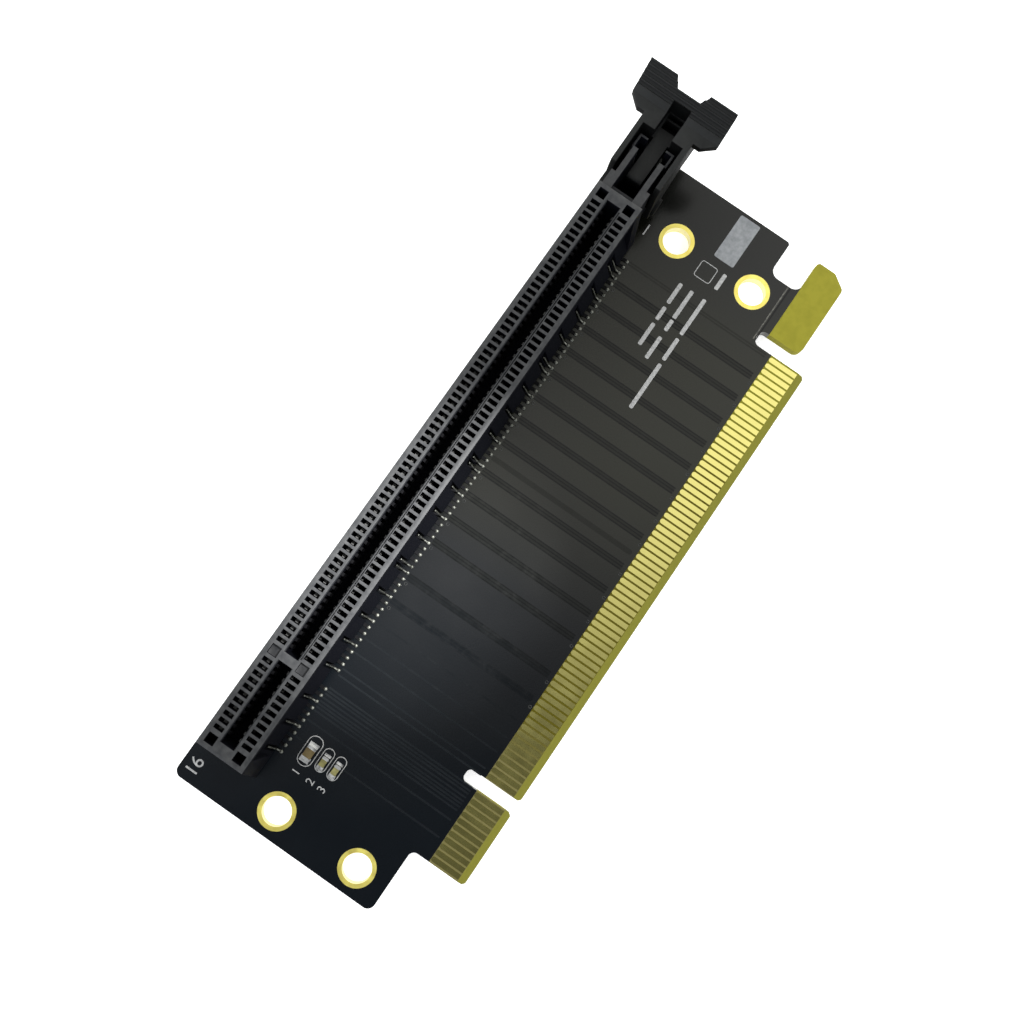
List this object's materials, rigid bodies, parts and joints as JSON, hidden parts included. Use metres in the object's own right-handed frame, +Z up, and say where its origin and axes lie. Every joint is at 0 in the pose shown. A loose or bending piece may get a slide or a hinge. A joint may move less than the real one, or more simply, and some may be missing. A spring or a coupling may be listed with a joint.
{
  "type": "right-angle riser card",
  "caption": "Flat riser board with a gold card edge along its front and an upright slot connector with a hinged retention latch along its back.",
  "frame": {"origin": "centre of the four mounting holes, on the underside of the board", "axes": "+X along the card edge, from the key's short side to the retention latch; +Y from the card edge to the slot connector; +Z up, out of the slot's mouth"},
  "size_m": [0.113, 0.042, 0.0159],
  "materials": {
    "solder_mask": "black solder mask on glass-epoxy laminate, satin",
    "gold": "gold plated copper",
    "housing_resin": "moulded black resin, slightly blue",
    "latch_resin": "moulded black resin",
    "contact_metal": "tin plated spring alloy",
    "ceramic_body": "brown capacitor ceramic",
    "tin": "tin plated copper"
  },
  "bodies": {
    "card": {"circuit_board": "solder_mask", "edge_fingers_front_short": "gold", "edge_fingers_front_long": "gold", "edge_fingers_back_short": "gold", "edge_fingers_back_long": "gold", "plated_hole_front_left": "gold", "plated_hole_front_right": "gold", "plated_hole_back_left": "gold", "plated_hole_back_right": "gold", "slot_housing": "housing_resin", "contacts_near_short": "contact_metal", "contacts_near_long": "contact_metal", "contacts_far_short": "contact_metal", "contacts_far_long": "contact_metal", "capacitor_1_body": "ceramic_body", "capacitor_2_body": "ceramic_body", "capacitor_3_body": "ceramic_body", "capacitor_1_terminals": "tin", "capacitor_2_terminals": "tin", "capacitor_3_terminals": "tin", "capacitor_pads": "tin"},
    "latch": {"retention_latch": "latch_resin"}
  },
  "joints": [
    {"name": "latch_hinge", "type": "hinge", "parent": "card", "child": "latch", "pos_m": [0.04915, 0.01555, 0.005], "axis": [0, 1, 0], "range_deg": [0, 30]}
  ]
}
